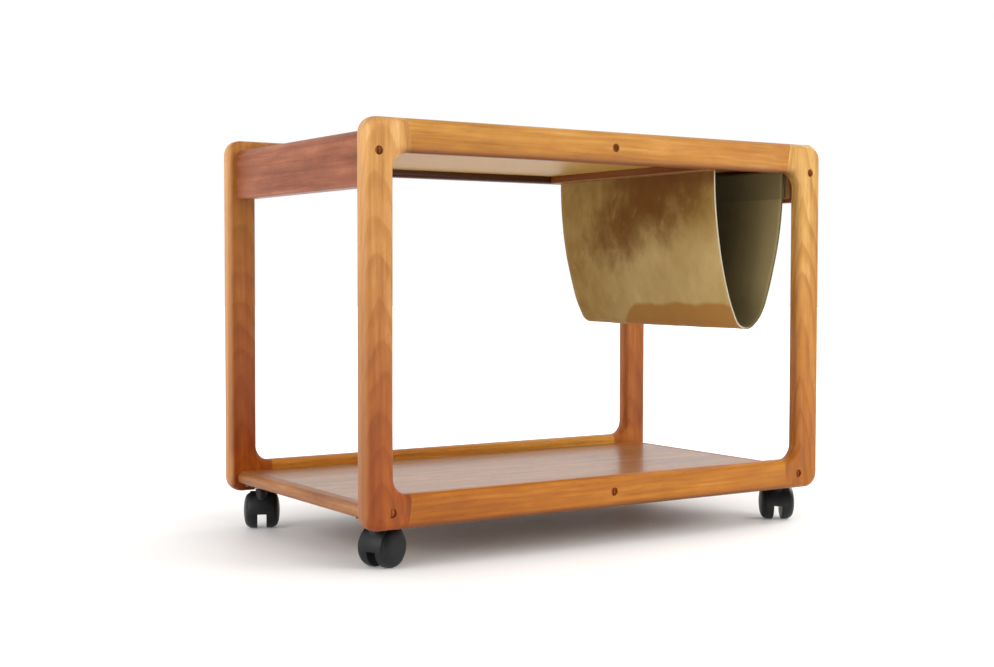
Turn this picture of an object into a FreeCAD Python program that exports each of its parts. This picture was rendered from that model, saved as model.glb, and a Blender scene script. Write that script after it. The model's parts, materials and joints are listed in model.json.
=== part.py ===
import FreeCAD, Part
import math
import os
import re

import Sketcher
from FreeCAD import Placement, Rotation, Vector

# Magazine table on casters. Two rounded wooden frames stand front and back, with a top panel, end rails and
# a low shelf between them, and a suede sling for magazines under the right half of the top.
# Millimetres. +Z is up, +X runs to the right along the front, +Y from front to back.
# The origin lies on the floor under the middle of the table.

# Driving dimensions
SIZES = {
    # the two frames
    "frame_length": 710,
    "frame_height": 470,
    "table_depth": 400,
    "member_width": 40,
    "member_thickness": 20,
    "outer_radius": 20,
    "inner_radius": 20,
    "edge_radius": 7,
    "joint_reach": 62,
    "joint_radius": 140,
    # dowels in the frame joints and behind the end rails
    "dowel_radius": 4,
    "dowel_length": 40,
    "dowel_spacing": 20,
    "dowel_in_post": 12,
    "dowel_below_screw": 25,
    "dowel_clearance": 0.1,
    # top panel, shelf and end rails
    "panel_thickness": 16,
    "panel_drop": 13,
    "tongue_thickness": 7,
    "tongue_length": 8,
    "tongue_clearance": 0.2,
    "end_inset": 12,
    "end_rail_thickness": 20,
    "end_rail_height": 65,
    "rail_top_radius": 9,
    "rail_edge_radius": 4,
    "lipping_width": 17,
    "lipping_top_radius": 8,
    "lipping_edge_radius": 5,
    # slotted screws through the frames
    "screw_head_radius": 4.9,
    "screw_head_height": 3,
    "screw_sink": 2.5,
    "screw_radius": 2.5,
    "screw_length": 55,
    "screw_clearance": 0.3,
    "thread_clearance": 0.1,
    "slot_width": 1.2,
    "slot_depth": 1.3,
    "top_screw_drop": 38.5,
    "top_screw_inset": 20,
    "bottom_screw_inset": 37,
    # magazine sling and its battens
    "sling_thickness": 2.5,
    "sling_depth": 348,
    "sling_clearance": 0.3,
    "sling_drop": 252,
    "sling_middle_inset": 111,
    "sling_bottom_radius": 20,
    "sling_left_radius": 530,
    "sling_left_turn_radius": 170,
    "sling_left_bend_drop": 40,
    "sling_right_radius": 487,
    "sling_right_turn_radius": 59,
    "sling_right_bend_drop": 45,
    "sling_right_top_drop": 39,
    "hem_thickness": 4.2,
    "hem_drop": 74,
    "left_batten_inset": 171.8,
    "left_batten_width": 15,
    "left_batten_height": 11,
    "right_batten_thickness": 8.2,
    "right_batten_height": 32,
    "right_batten_drop": 73,
    "batten_end_gap": 2,
    "batten_screw_radius": 1.5,
    "batten_screw_head_radius": 2.9,
    "batten_screw_grip": 9,
    "batten_screw_spacing": 140,
    # casters
    "caster_height": 49.5,
    "caster_inset_x": 37,
    "caster_inset_y": 40,
    "caster_trail": 12,
    "wheel_radius": 24,
    "wheel_width": 18,
    "wheel_gap": 12,
    "wheel_dome_radius": 36,
    "wheel_edge_radius": 3,
    "wheel_bore_depth": 14,
    "wheel_side_clearance": 0.3,
    "axle_radius": 2.5,
    "axle_end_clearance": 0.5,
    "running_clearance": 0.05,
    "hood_clearance": 0.4,
    "hood_wall": 1,
    "hood_width": 31,
    "hood_lower_edge": 21,
    "hood_back_reach": 22,
    "hood_foot_reach": 7.5,
    "boss_radius": 8,
    "boss_height": 4,
    "stem_radius": 4,
    "stem_grip": 18,
    "socket_radius": 7,
    "thrust_gap": 0.3,
    "plate_side": 38,
    "plate_thickness": 2,
    "plate_corner_radius": 6,
    "plate_screw_spacing": 27,
    "plate_screw_radius": 1.5,
    "plate_screw_head_radius": 2.9,
    "plate_screw_head_height": 1.5,
    "plate_screw_grip": 11,
    # which way the wheels of each caster trail, in degrees from +X
    "front_left_trail": 26,
    "front_right_trail": 55,
    "back_left_trail": 66,
    "back_right_trail": 50,
}

# The casters, and the sides of the table they stand at along X and Y
CASTERS = {
    "front_left": (-1, -1),
    "front_right": (1, -1),
    "back_left": (-1, 1),
    "back_right": (1, 1),
}

doc = FreeCAD.newDocument("MagazineTable")
sheet = doc.addObject("Spreadsheet::Sheet", "Sheet")
for row, (alias, size) in enumerate(SIZES.items(), start=1):
    sheet.set(f"A{row}", alias)
    sheet.set(f"B{row}", str(size))
    sheet.setAlias(f"B{row}", alias)
doc.recompute()

parts = {}


# Helpers that tie objects to the sheet
def formula(text):
    """The expression text with every alias written as a cell of the sheet."""
    return re.sub(r"[a-z]\w*", lambda word: f"Sheet.{word[0]}" if word[0] in SIZES else word[0], str(text))


def value(text):
    """The number that an expression comes to."""
    return float(sheet.evalExpression(formula(text)))


def bind(item, **expressions):
    """Ties properties to expressions; x, y and z stand for the placement's base."""
    for name, text in expressions.items():
        target = f"Placement.Base.{name}" if name in ("x", "y", "z") else name
        item.setExpression(target, formula(text))
    return item


def keep(label, item):
    """Marks a finished object as the sub-part with this name."""
    item.Label = label
    parts[label] = item
    return item


# Helpers for primitives and booleans
TURNS = {
    "X": Rotation(Vector(0, 0, 1), Vector(1, 0, 0)),
    "Y": Rotation(Vector(0, 0, 1), Vector(0, 1, 0)),
    "Z": Rotation(),
}


def box(name, x, y, z, length, width, height):
    """A box from its low corner."""
    return bind(doc.addObject("Part::Box", name), x=x, y=y, z=z, Length=length, Width=width, Height=height)


def cylinder(name, axis, x, y, z, radius, height):
    """A cylinder that starts at x, y, z and runs along +axis."""
    item = doc.addObject("Part::Cylinder", name)
    item.Placement = Placement(Vector(), TURNS[axis])
    return bind(item, x=x, y=y, z=z, Radius=radius, Height=height)


def join(name, shapes):
    """Several shapes fused into one tool."""
    item = doc.addObject("Part::MultiFuse", name)
    item.Shapes = shapes
    return item


def group(name, shapes):
    """Several separate solids kept together."""
    item = doc.addObject("Part::Compound", name)
    item.Links = shapes
    return item


def cut(name, base, tool):
    """What is left of base after tool is taken away."""
    item = doc.addObject("Part::Cut", name)
    item.Base = base
    item.Tool = tool
    return item


def common(name, base, tool):
    """What base and tool share."""
    item = doc.addObject("Part::Common", name)
    item.Base = base
    item.Tool = tool
    return item


# Helpers for bodies made from sketches
def new_sketch(body, role, name):
    """A sketch on one of the body's own origin planes."""
    sketch = body.newObject("Sketcher::SketchObject", name)
    plane = next(feature for feature in body.Origin.OriginFeatures if feature.Role == role)
    sketch.AttachmentSupport = [(plane, "")]
    sketch.MapMode = "FlatFace"
    return sketch


def set_size(sketch, constraint, text):
    """Adds a sized constraint and ties it to an expression."""
    index = sketch.addConstraint(constraint)
    sketch.setExpression(f"Constraints[{index}]", formula(text))


def outline(sketch, points, arcs=None):
    """A closed outline through points given as pairs of expressions.

    arcs maps the number of a side to the pair of expressions of its centre; that side is then an arc.
    """
    arcs = arcs or {}
    spots = [Vector(value(x), value(y), 0) for x, y in points]
    first = sketch.GeometryCount
    for side, start in enumerate(spots):
        end = spots[(side + 1) % len(spots)]
        if side in arcs:
            middle = Vector(value(arcs[side][0]), value(arcs[side][1]), 0)
            from_angle = math.atan2(start.y - middle.y, start.x - middle.x)
            to_angle = math.atan2(end.y - middle.y, end.x - middle.x)
            if (to_angle - from_angle) % math.tau > math.pi:
                from_angle, to_angle = to_angle, from_angle
            circle = Part.Circle(middle, Vector(0, 0, 1), (start - middle).Length)
            sketch.addGeometry(Part.ArcOfCircle(circle, from_angle, to_angle))
        else:
            sketch.addGeometry(Part.LineSegment(start, end))
    tips = []
    for side, start in enumerate(spots):
        edge = sketch.Geometry[first + side]
        tips.append((1, 2) if (edge.StartPoint - start).Length < 1e-6 else (2, 1))
    for side in range(len(spots)):
        after = (side + 1) % len(spots)
        sketch.addConstraint(
            Sketcher.Constraint("Coincident", first + side, tips[side][1], first + after, tips[after][0])
        )
    for side, (x, y) in enumerate(points):
        pin(sketch, first + side, tips[side][0], x, y)
    for side, (x, y) in arcs.items():
        set_size(sketch, Sketcher.Constraint("DistanceX", -1, 1, first + side, 3, value(x)), x)


def pin(sketch, item, tip, x, y):
    """Fixes a point of a sketch at a place given by two expressions."""
    for axis, text in (("X", x), ("Y", y)):
        if str(text) == "0":
            line = -2 if axis == "X" else -1
            sketch.addConstraint(Sketcher.Constraint("PointOnObject", item, tip, line))
        else:
            set_size(sketch, Sketcher.Constraint(f"Distance{axis}", -1, 1, item, tip, value(text)), text)


def rounded_rectangle(sketch, width, height, bottom, radius):
    """A closed outline with round corners, centred on the sketch's upright axis."""
    half = value(width) / 2
    low = value(bottom)
    high = low + value(height)
    round_by = value(radius)
    first = sketch.GeometryCount
    corners = [(half, low, -90), (half, high, 0), (-half, high, 90), (-half, low, 180)]
    centres = []
    for x, y, turn in corners:
        middle = Vector(x - math.copysign(round_by, x), y + (round_by if y == low else -round_by), 0)
        centres.append((middle, turn))
    for middle, turn in centres:
        circle = Part.Circle(middle, Vector(0, 0, 1), round_by)
        sketch.addGeometry(Part.ArcOfCircle(circle, math.radians(turn), math.radians(turn + 90)))
    for number in range(4):
        start = sketch.Geometry[first + number].EndPoint
        end = sketch.Geometry[first + (number + 1) % 4].StartPoint
        sketch.addGeometry(Part.LineSegment(start, end))
    for number in range(4):
        side = first + 4 + number
        after = first + (number + 1) % 4
        sketch.addConstraint(Sketcher.Constraint("Tangent", first + number, 2, side, 1))
        sketch.addConstraint(Sketcher.Constraint("Tangent", side, 2, after, 1))
        if number:
            sketch.addConstraint(Sketcher.Constraint("Equal", first, first + number))
    right, top, left, base = range(first + 4, first + 8)
    for way, side in (("Vertical", right), ("Horizontal", top), ("Vertical", left)):
        sketch.addConstraint(Sketcher.Constraint(way, side))
    set_size(sketch, Sketcher.Constraint("Radius", first, round_by), radius)
    set_size(sketch, Sketcher.Constraint("DistanceX", left, 1, right, 1, 2 * half), width)
    set_size(sketch, Sketcher.Constraint("DistanceY", base, 1, top, 1, high - low), height)
    sketch.addConstraint(Sketcher.Constraint("Symmetric", base, 1, base, 2, -2))
    if str(bottom) == "0":
        sketch.addConstraint(Sketcher.Constraint("PointOnObject", base, 1, -1))
    else:
        set_size(sketch, Sketcher.Constraint("DistanceY", -1, 1, base, 1, low), bottom)


def ring(sketch, x, y, radius):
    """A circle round a point given by two expressions."""
    middle = Vector(value(x), value(y), 0)
    item = sketch.addGeometry(Part.Circle(middle, Vector(0, 0, 1), value(radius)))
    pin(sketch, item, 3, x, y)
    set_size(sketch, Sketcher.Constraint("Radius", item, value(radius)), radius)


def pad(body, sketch, name, length, both_ways=False, backwards=False):
    """Pads a sketch, to one side or evenly to both."""
    feature = body.newObject("PartDesign::Pad", name)
    feature.Profile = sketch
    feature.Midplane = both_ways
    feature.Reversed = backwards
    return bind(feature, Length=length)


def pocket_both_ways(body, sketch, name, length):
    """Cuts a sketch evenly to both sides of its plane."""
    feature = body.newObject("PartDesign::Pocket", name)
    feature.Profile = sketch
    feature.Midplane = True
    return bind(feature, Length=length)


def round_edges(body, base, name, radius, wanted):
    """Rounds the edges or faces of base that the wanted test picks out of its shape."""
    doc.recompute()
    feature = body.newObject("PartDesign::Fillet", name)
    feature.Base = (base, wanted(base.Shape))
    return bind(feature, Radius=radius)


def flat_faces_across_y(shape):
    """Names of the flat faces that look along Y."""
    return [
        f"Face{number}"
        for number, face in enumerate(shape.Faces, start=1)
        if isinstance(face.Surface, Part.Plane) and abs(face.normalAt(0, 0).y) > 0.99
    ]


def edges_along_y(*places):
    """A test that picks the straight edges along Y through the given x, z places."""

    def wanted(shape):
        names = []
        for number, edge in enumerate(shape.Edges, start=1):
            start, end = edge.Vertexes[0].Point, edge.Vertexes[-1].Point
            for x, z in places:
                near = max(abs(start.x - value(x)), abs(start.z - value(z)), abs(end.x - start.x)) < 1e-4
                if near and abs(end.z - start.z) < 1e-4:
                    names.append(f"Edge{number}")
        return names

    return wanted


def circles_of(*radii):
    """A test that picks the circular edges with the given radii."""

    def wanted(shape):
        return [
            f"Edge{number}"
            for number, edge in enumerate(shape.Edges, start=1)
            if not edge.Degenerated
            and isinstance(edge.Curve, Part.Circle)
            and any(abs(edge.Curve.Radius - value(radius)) < 1e-4 for radius in radii)
        ]

    return wanted


# Places that several pieces share
HALF_LENGTH = "frame_length / 2"
INNER_FACE = "(table_depth / 2 - member_thickness)"
RAIL_INNER_X = "(frame_length / 2 - end_inset - end_rail_thickness)"
RAIL_MIDDLE_X = "(frame_length / 2 - end_inset - end_rail_thickness / 2)"
PANEL_TOP = "(caster_height + frame_height - panel_drop)"
PANEL_UNDERSIDE = "(caster_height + frame_height - panel_drop - panel_thickness)"
SHELF_TOP = "(caster_height + member_width - panel_drop)"
SHELF_UNDERSIDE = "(caster_height + member_width - panel_drop - panel_thickness)"
SCREW_DEPTH = "(screw_sink + screw_head_height)"
SCREW_TIP = "(screw_sink + screw_head_height + screw_length)"

# The screws of one frame: x, and the height above the frame's foot
FRAME_SCREWS = {
    "top_left": ("-(frame_length / 2 - top_screw_inset)", "(frame_height - top_screw_drop)"),
    "top_middle": ("0", "(frame_height - member_width / 2)"),
    "top_right": ("(frame_length / 2 - top_screw_inset)", "(frame_height - top_screw_drop)"),
    "bottom_left": ("-(frame_length / 2 - bottom_screw_inset)", "(member_width / 2)"),
    "bottom_middle": ("0", "(member_width / 2)"),
    "bottom_right": ("(frame_length / 2 - bottom_screw_inset)", "(member_width / 2)"),
}
DOWEL_HEIGHT = "(frame_height - top_screw_drop - dowel_below_screw)"


# One frame, drilled, in its own place: outer face at y = 0, foot at z = 0
def frame_ring():
    """The whole rounded frame before it is divided into posts and rails."""
    body = doc.addObject("PartDesign::Body", "FrameRing")
    sketch = new_sketch(body, "XZ_Plane", "FrameOutline")
    rounded_rectangle(sketch, "frame_length", "frame_height", "0", "outer_radius")
    inner_length = "frame_length - 2 * member_width"
    inner_height = "frame_height - 2 * member_width"
    rounded_rectangle(sketch, inner_length, inner_height, "member_width", "inner_radius")
    slab = pad(body, sketch, "FramePad", "member_thickness", backwards=True)
    round_edges(body, slab, "FrameRounding", "edge_radius", flat_faces_across_y)
    return body


def corner_dowels(name, radius, extra):
    """The dowels of the four corner joints, longer by extra at each end."""
    rods = []
    start = f"(joint_reach - dowel_length / 2 - {extra})"
    length = f"dowel_length + 2 * {extra}"
    for side in (-1, 1):
        x = f"-({HALF_LENGTH}) + {start}" if side < 0 else f"{HALF_LENGTH} - {start} - ({length})"
        for level in ("member_width / 2", "frame_height - member_width / 2"):
            for step in (-1, 1):
                z = f"{level} + {step} * dowel_spacing / 2"
                rods.append(cylinder(name, "X", x, "member_thickness / 2", z, radius, length))
    return rods


def frame_holes():
    """Everything that is drilled out of one frame."""
    holes = corner_dowels("CornerDowelHole", "dowel_radius + dowel_clearance", "dowel_clearance")
    shank_room = "screw_radius + screw_clearance"
    head_room = "screw_head_radius + screw_clearance"
    for x, z in FRAME_SCREWS.values():
        holes.append(cylinder("ScrewHole", "Y", x, 0, z, shank_room, "member_thickness"))
        holes.append(cylinder("ScrewRecess", "Y", x, 0, z, head_room, SCREW_DEPTH))
    for side in (-1, 1):
        x = f"{side} * {RAIL_MIDDLE_X}"
        y = "member_thickness - dowel_in_post - dowel_clearance"
        depth = "dowel_in_post + dowel_clearance"
        holes.append(
            cylinder("RailDowelHole", "Y", x, y, DOWEL_HEIGHT, "dowel_radius + dowel_clearance", depth)
        )
    return join("FrameHoles", holes)


def post_region(side):
    """The space of one post, corners included, with a shallow curve at each joint."""
    x = f"-({HALF_LENGTH})" if side < 0 else f"{HALF_LENGTH} - joint_reach"
    span = "frame_height - 2 * member_width"
    pieces = [box("PostSpan", x, 0, "member_width", "joint_reach", "member_thickness", span)]
    centre = f"{side} * ({HALF_LENGTH} - joint_reach + joint_radius)"
    for z in ("member_width", "frame_height - member_width"):
        pieces.append(cylinder("JointCurve", "Y", centre, 0, z, "joint_radius", "member_thickness"))
    return join("PostRegion", pieces)


drilled_ring = cut("DrilledRing", frame_ring(), frame_holes())
left_region = post_region(-1)
right_region = post_region(1)
both_regions = join("PostRegions", [left_region, right_region])
rails_only = cut("RailsOnly", drilled_ring, both_regions)

def frame_half(name, level):
    """The space of the upper or the lower half of a frame."""
    return box(name, f"-({HALF_LENGTH})", 0, level, "frame_length", "member_thickness", "frame_height / 2")


upper_half = frame_half("UpperHalf", "frame_height / 2")
lower_half = frame_half("LowerHalf", "0")


def frame_screw(x, z):
    """A slotted screw, its head sunk in the frame."""
    head = cylinder("ScrewHead", "Y", x, "screw_sink", z, "screw_head_radius", "screw_head_height")
    shank = cylinder("ScrewShank", "Y", x, SCREW_DEPTH, z, "screw_radius", "screw_length")
    slot = box(
        "ScrewSlot",
        f"{x} - slot_width / 2",
        "screw_sink",
        f"{z} - screw_head_radius",
        "slot_width",
        "slot_depth",
        "2 * screw_head_radius",
    )
    return cut("SlottedScrew", join("ScrewBlank", [head, shank]), slot)


screws = [frame_screw(x, z) for x, z in FRAME_SCREWS.values()]
dowels = corner_dowels("CornerDowel", "dowel_radius", 0)

for side, outward in (("front", -1), ("back", 1)):
    turn = Rotation(Vector(0, 0, 1), 0 if outward < 0 else 180)
    left, right = ("left", "right") if outward < 0 else ("right", "left")
    pieces = {
        f"{side}_{left}_post": common("Post", drilled_ring, left_region),
        f"{side}_{right}_post": common("Post", drilled_ring, right_region),
        f"{side}_top_rail": common("TopRail", rails_only, upper_half),
        f"{side}_bottom_rail": common("BottomRail", rails_only, lower_half),
        f"{side}_frame_dowels": group("FrameDowels", dowels),
        f"{side}_frame_screws": group("FrameScrews", screws),
    }
    for label, piece in pieces.items():
        piece.Placement = Placement(Vector(), turn)
        bind(piece, y=f"{outward} * table_depth / 2", z="caster_height")
        keep(label, piece)


# Screw holes in the edges of the pieces between the frames
def edge_holes(names):
    """Pilot holes for the named frame screws, from both frames, in table coordinates."""
    holes = []
    for name in names:
        x, z = FRAME_SCREWS[name]
        level = f"caster_height + {z}"
        depth = f"{SCREW_TIP} - member_thickness + thread_clearance"
        radius = "screw_radius + thread_clearance"
        holes.append(cylinder("EdgeHole", "Y", x, f"-{INNER_FACE}", level, radius, depth))
        holes.append(cylinder("EdgeHole", "Y", x, f"{INNER_FACE} - ({depth})", level, radius, depth))
    return holes


BATTEN_SCREW_STEPS = ("-batten_screw_spacing", "0", "batten_screw_spacing")
LEFT_BATTEN_EDGE = f"({HALF_LENGTH} - left_batten_inset)"
LEFT_BATTEN_MIDDLE = f"({LEFT_BATTEN_EDGE} - left_batten_width / 2)"
FRAME_TOP = "(caster_height + frame_height)"
RIGHT_BATTEN_MIDDLE = f"({FRAME_TOP} - right_batten_drop + right_batten_height / 2)"
HEM_FACE = f"({RAIL_INNER_X} - right_batten_thickness - sling_clearance)"


# Top panel with a tongue at each end, and the end rails that take the tongues
def tongue(side, extra):
    """One end tongue of the top panel, wider by extra all round for its groove."""
    length = f"tongue_length + {extra}"
    x = RAIL_INNER_X if side > 0 else f"-{RAIL_INNER_X} - ({length})"
    z = f"{PANEL_UNDERSIDE} + panel_thickness / 2 - tongue_thickness / 2 - {extra}"
    return box(
        "Tongue", x, f"-{INNER_FACE}", z, length, f"2 * {INNER_FACE}", f"tongue_thickness + 2 * {extra}"
    )


def top_panel():
    """The board of the top, between the frames and the end rails."""
    board = box(
        "TopBoard",
        f"-{RAIL_INNER_X}",
        f"-{INNER_FACE}",
        PANEL_UNDERSIDE,
        f"2 * {RAIL_INNER_X}",
        f"2 * {INNER_FACE}",
        "panel_thickness",
    )
    blank = join("TopBlank", [board, tongue(-1, 0), tongue(1, 0)])
    holes = edge_holes(["top_middle"])
    for y in BATTEN_SCREW_STEPS:
        holes.append(
            cylinder(
                "BattenHole",
                "Z",
                LEFT_BATTEN_MIDDLE,
                y,
                PANEL_UNDERSIDE,
                "batten_screw_radius + thread_clearance",
                "batten_screw_grip + thread_clearance",
            )
        )
    return cut("TopPanel", blank, join("TopHoles", holes))


def rounded_bar(name, x_outer, z_low, width, height, side, radii):
    """A bar along Y with its outer face at x_outer; radii are those of its outer top and outer lower edge."""
    body = doc.addObject("PartDesign::Body", name)
    sketch = new_sketch(body, "XZ_Plane", f"{name}Section")
    inner = f"{side} * ({x_outer} - {width})"
    outer = f"{side} * {x_outer}"
    top = f"{z_low} + {height}"
    outline(sketch, [(inner, z_low), (outer, z_low), (outer, top), (inner, top)])
    bar = pad(body, sketch, f"{name}Pad", f"2 * {INNER_FACE}", both_ways=True)
    first = round_edges(body, bar, f"{name}TopRounding", radii[0], edges_along_y((outer, top)))
    round_edges(body, first, f"{name}Rounding", radii[1], edges_along_y((outer, z_low)))
    return body


OUTER_X = f"({HALF_LENGTH} - end_inset)"


def end_rail(side):
    """One rail under the end of the top, grooved for the panel and drilled for its screws and dowels."""
    name = "LeftRail" if side < 0 else "RightRail"
    bar = rounded_bar(
        name,
        OUTER_X,
        f"{PANEL_TOP} - end_rail_height",
        "end_rail_thickness",
        "end_rail_height",
        side,
        ("rail_top_radius", "rail_edge_radius"),
    )
    tools = edge_holes(["top_left" if side < 0 else "top_right"])
    tools.append(tongue(side, "tongue_clearance"))
    depth = "dowel_length - dowel_in_post + dowel_clearance"
    for y in (f"-{INNER_FACE}", f"{INNER_FACE} - ({depth})"):
        tools.append(
            cylinder(
                "DowelHole",
                "Y",
                f"{side} * {RAIL_MIDDLE_X}",
                y,
                f"caster_height + {DOWEL_HEIGHT}",
                "dowel_radius + dowel_clearance",
                depth,
            )
        )
    if side > 0:
        for y in BATTEN_SCREW_STEPS:
            tools.append(
                cylinder(
                    "BattenHole",
                    "X",
                    RAIL_INNER_X,
                    y,
                    RIGHT_BATTEN_MIDDLE,
                    "batten_screw_radius + thread_clearance",
                    "batten_screw_grip + thread_clearance",
                )
            )
    return cut(f"{name}Drilled", bar, join(f"{name}Tools", tools))


def end_rail_dowels():
    """The dowels that keep the end rails from turning on their screws."""
    rods = []
    for side in (-1, 1):
        for y in (f"-{INNER_FACE} - dowel_in_post", f"{INNER_FACE} + dowel_in_post - dowel_length"):
            x = f"{side} * {RAIL_MIDDLE_X}"
            level = f"caster_height + {DOWEL_HEIGHT}"
            rods.append(cylinder("RailDowel", "Y", x, y, level, "dowel_radius", "dowel_length"))
    return group("RailDowels", rods)


keep("top_panel", top_panel())
keep("left_end_rail", end_rail(-1))
keep("right_end_rail", end_rail(1))
keep("end_rail_dowels", end_rail_dowels())

# Places of the casters: their stems under the shelf
STEMS = {
    label: (f"{sx} * ({HALF_LENGTH} - caster_inset_x)", f"{sy} * (table_depth / 2 - caster_inset_y)")
    for label, (sx, sy) in CASTERS.items()
}
PLATE_UNDERSIDE = f"({SHELF_UNDERSIDE} - plate_thickness)"


def plate_screw_places():
    """Where the caster plates are screwed to the shelf."""
    places = []
    for x, y in STEMS.values():
        for step_x in (-1, 1):
            for step_y in (-1, 1):
                places.append(
                    (f"{x} + {step_x} * plate_screw_spacing / 2", f"{y} + {step_y} * plate_screw_spacing / 2")
                )
    return places


def plate_pilot_holes():
    """The pilot holes of the plate screws in the shelf."""
    depth = "plate_screw_grip + thread_clearance"
    return [
        cylinder("PlatePilot", "Z", x, y, SHELF_UNDERSIDE, "plate_screw_radius + thread_clearance", depth)
        for x, y in plate_screw_places()
    ]


# Shelf board and its solid lippings
LIPPING_INNER_X = f"({OUTER_X} - lipping_width)"


def shelf_panel():
    """The board of the shelf, between the frames and the two lippings."""
    board = box(
        "ShelfBoard",
        f"-{LIPPING_INNER_X}",
        f"-{INNER_FACE}",
        SHELF_UNDERSIDE,
        f"2 * {LIPPING_INNER_X}",
        f"2 * {INNER_FACE}",
        "panel_thickness",
    )
    holes = edge_holes(["bottom_left", "bottom_middle", "bottom_right"])
    return cut("ShelfPanel", board, join("ShelfHoles", holes + plate_pilot_holes()))


def shelf_lipping(side):
    """The solid wooden edge at one end of the shelf."""
    name = "LeftLipping" if side < 0 else "RightLipping"
    bar = rounded_bar(
        name,
        OUTER_X,
        SHELF_UNDERSIDE,
        "lipping_width",
        "panel_thickness",
        side,
        ("lipping_top_radius", "lipping_edge_radius"),
    )
    return cut(f"{name}Drilled", bar, join(f"{name}Holes", plate_pilot_holes()))


keep("shelf_panel", shelf_panel())
keep("shelf_left_lipping", shelf_lipping(-1))
keep("shelf_right_lipping", shelf_lipping(1))


# Battens that carry the sling
def countersunk_screw(axis, x, y, z, grip):
    """A screw along +axis with its flat head at x, y, z."""
    item = doc.addObject("Part::Cone", "BattenScrewHead")
    item.Placement = Placement(Vector(), TURNS[axis])
    bind(item, x=x, y=y, z=z, Radius1="batten_screw_head_radius", Radius2="batten_screw_radius")
    bind(item, Height="batten_screw_head_radius - batten_screw_radius")
    shank = cylinder("BattenScrewShank", axis, x, y, z, "batten_screw_radius", grip)
    return join("BattenScrew", [item, shank])


def left_batten_screws():
    """The screws up through the left batten into the top."""
    z = f"{PANEL_UNDERSIDE} - left_batten_height"
    grip = "left_batten_height + batten_screw_grip"
    return [countersunk_screw("Z", LEFT_BATTEN_MIDDLE, y, z, grip) for y in BATTEN_SCREW_STEPS]


def right_batten_screws():
    """The screws through the right batten into the right end rail."""
    x = f"{RAIL_INNER_X} - right_batten_thickness"
    grip = "right_batten_thickness + batten_screw_grip"
    return [countersunk_screw("X", x, y, RIGHT_BATTEN_MIDDLE, grip) for y in BATTEN_SCREW_STEPS]


BATTEN_START = f"-({INNER_FACE} - batten_end_gap)"
BATTEN_LENGTH = f"2 * ({INNER_FACE} - batten_end_gap)"
left_batten = box(
    "LeftBattenBlank",
    f"{LEFT_BATTEN_EDGE} - left_batten_width",
    BATTEN_START,
    f"{PANEL_UNDERSIDE} - left_batten_height",
    "left_batten_width",
    BATTEN_LENGTH,
    "left_batten_height",
)
right_batten = box(
    "RightBattenBlank",
    f"{RAIL_INNER_X} - right_batten_thickness",
    BATTEN_START,
    f"{FRAME_TOP} - right_batten_drop",
    "right_batten_thickness",
    BATTEN_LENGTH,
    "right_batten_height",
)
keep("sling_left_batten", cut("LeftBatten", left_batten, join("LeftBattenHoles", left_batten_screws())))
keep("sling_right_batten", cut("RightBatten", right_batten, join("RightBattenHoles", right_batten_screws())))
keep("sling_batten_screws", group("BattenScrews", left_batten_screws() + right_batten_screws()))


# The sling: one suede sheet hanging in a deep U, its right end turned over as a hem
def between(high, low, high_radius, turn_radius, low_radius, outward):
    """The centre of the turn that joins the arc round high to the arc round low, on the outward side of both."""
    far = high_radius - turn_radius
    near = turn_radius - low_radius
    span = low - high
    along = (far**2 - near**2 + span.Length**2) / (2 * span.Length)
    aside = math.sqrt(far**2 - along**2)
    line = Vector(span).normalize()
    square = Vector(-line.z, 0, line.x)
    if square.x * outward < 0:
        square = square * -1
    return high + line * along + square * aside


def sling_wall(side):
    """One wall of the sheet's middle line, outside in: top, upright line, arc centres and radii."""
    name = "left" if side < 0 else "right"
    frame_top = value(FRAME_TOP)
    half = value("sling_thickness / 2")
    if side < 0:
        x = value(f"{LEFT_BATTEN_EDGE} + sling_clearance") + half
        top = value(f"{PANEL_UNDERSIDE} - sling_clearance")
    else:
        x = value(f"{HEM_FACE} - hem_thickness") - half
        top = frame_top - value("sling_right_top_drop")
    radii = [value(f"sling_{name}_radius"), value(f"sling_{name}_turn_radius"), value("sling_bottom_radius")]
    high = Vector(x - side * radii[0], 0, frame_top - value(f"sling_{name}_bend_drop"))
    middle = value(f"{HALF_LENGTH} - sling_middle_inset")
    low = Vector(middle, 0, frame_top - value("sling_drop") + half + radii[2])
    return top, [high, between(high, low, *radii, side), low], radii


def sling_edges(offset):
    """The sheet's line from its left to its right top, moved outwards by offset."""

    def arc(middle, radius, start, end):
        crown = (start + end).normalize()
        places = [middle + way * (radius + offset) for way in (start, crown, end)]
        return Part.Arc(*places).toShape()

    edges = []
    down = Vector(0, 0, -1)
    for side in (-1, 1):
        top, (high, turn, low), radii = sling_wall(side)
        level = Vector(side, 0, 0)
        upper = (turn - high).normalize()
        lower = (low - turn).normalize()
        bend = high + level * (radii[0] + offset)
        wall = [
            Part.makeLine(Vector(bend.x, 0, top), bend),
            arc(high, radii[0], level, upper),
            arc(turn, radii[1], upper, lower),
            arc(low, radii[2], lower, down),
        ]
        edges += wall if side < 0 else wall[::-1]
    return edges


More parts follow.
